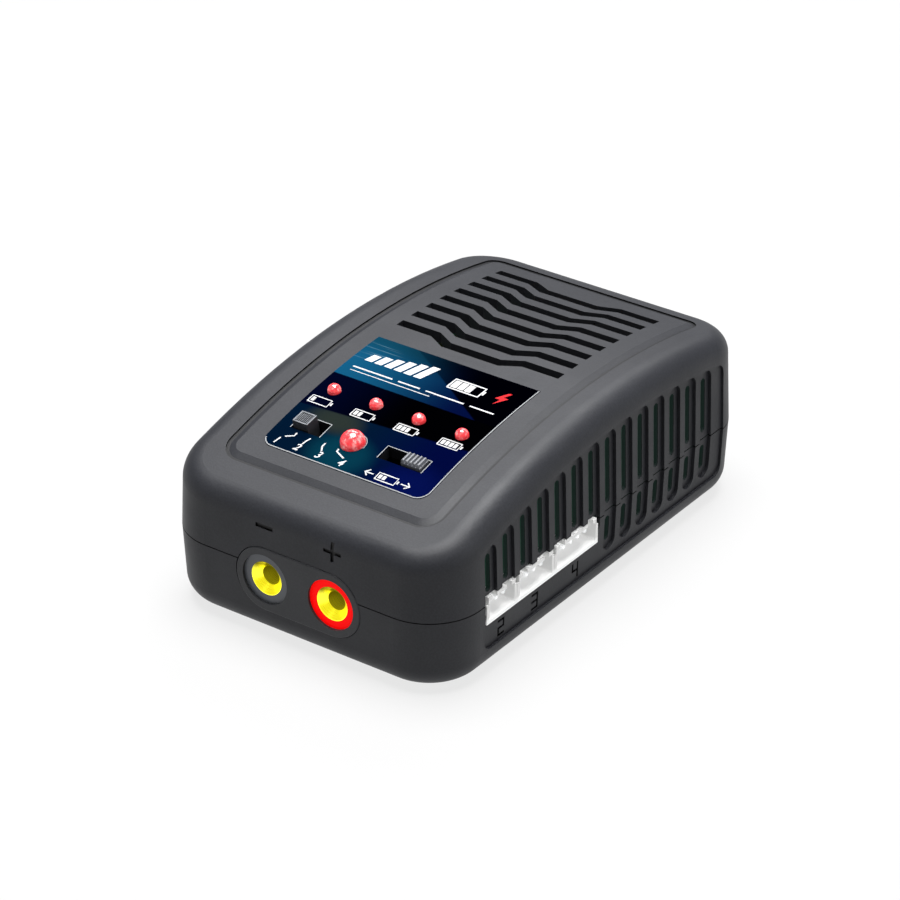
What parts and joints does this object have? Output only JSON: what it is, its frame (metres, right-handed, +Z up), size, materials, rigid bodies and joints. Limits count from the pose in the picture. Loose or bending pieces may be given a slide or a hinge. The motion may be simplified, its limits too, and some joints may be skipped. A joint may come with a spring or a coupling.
{
  "type": "balance battery charger",
  "caption": "Small mains balance charger: arched two-part plastic case with side and top vents, front output sockets, side balance ports, slide switches and status lamps",
  "frame": {"origin": "middle of the footprint, on the surface that the feet stand on", "axes": "+X points out of the side with the balance ports, -Y out of the end with the output sockets, +Z up"},
  "size_m": [0.068, 0.107, 0.04],
  "materials": {
    "case_plastic": "fine-textured dark grey plastic",
    "printed_label": "printed film, blue to black",
    "holder_plastic": "smooth dark grey plastic",
    "grey_plastic": "dark grey plastic",
    "red_plastic": "bright red plastic",
    "brass": "bright turned brass",
    "white_plastic": "white nylon",
    "tinned_pins": "tinned",
    "inlet_plastic": "black nylon",
    "inlet_metal": "nickel plated",
    "switch_steel": "tinned steel cage",
    "knob_plastic": "dark grey plastic",
    "lamp_lens": "diffused pink-red lens",
    "circuit_board": "green solder mask",
    "screw_steel": "zinc plated",
    "chip_plastic": "black moulding compound",
    "rubber": "black rubber",
    "plate_film": "blank grey film",
    "fuse_glass": "sleeved fuse",
    "capacitor_box": "yellow film capacitor",
    "copper_winding": "enamelled copper wire",
    "capacitor_sleeve": "shrink sleeve",
    "ferrite": "ferrite",
    "winding_tape": "yellow tape over copper",
    "sink_aluminium": "bare aluminium"
  },
  "bodies": {
    "charger": {"upper_shell": "case_plastic", "lower_shell": "case_plastic", "panel_label": "printed_label", "socket_holder": "holder_plastic", "socket_ring_minus": "grey_plastic", "socket_ring_plus": "red_plastic", "socket_contact_minus": "brass", "socket_contact_plus": "brass", "balance_port_3": "white_plastic", "balance_port_4": "white_plastic", "balance_port_5": "white_plastic", "balance_port_3_pins": "tinned_pins", "balance_port_4_pins": "tinned_pins", "balance_port_5_pins": "tinned_pins", "mains_inlet": "inlet_plastic", "mains_inlet_pins": "inlet_metal", "current_switch_body": "switch_steel", "type_switch_body": "switch_steel", "status_lamp_1": "lamp_lens", "status_lamp_2": "lamp_lens", "status_lamp_3": "lamp_lens", "status_lamp_4": "lamp_lens", "charge_lamp": "lamp_lens", "control_board": "circuit_board", "main_board": "circuit_board", "control_board_screws": "screw_steel", "board_screws": "screw_steel", "case_screws": "screw_steel", "controller_chip": "chip_plastic", "switching_transistor": "chip_plastic", "output_rectifier": "chip_plastic", "bridge_rectifier": "chip_plastic", "balance_resistors": "chip_plastic", "link_header": "chip_plastic", "rubber_feet": "rubber", "rating_plate": "plate_film", "fuse_tube": "fuse_glass", "suppression_capacitor": "capacitor_box", "input_choke": "copper_winding", "output_inductor": "copper_winding", "bulk_capacitor": "capacitor_sleeve", "output_capacitors": "capacitor_sleeve", "transformer_core": "ferrite", "transformer_winding": "winding_tape", "primary_heatsink": "sink_aluminium", "secondary_heatsink": "sink_aluminium"},
    "current_knob": {"current_switch_knob": "knob_plastic"},
    "type_knob": {"type_switch_knob": "knob_plastic"}
  },
  "joints": [
    {"name": "current_slide", "type": "slide", "parent": "charger", "child": "current_knob", "axis": [1, 0, 0], "range_m": [0, 0.0025]},
    {"name": "type_slide", "type": "slide", "parent": "charger", "child": "type_knob", "axis": [1, 0, 0], "range_m": [-0.0049, 0]}
  ]
}
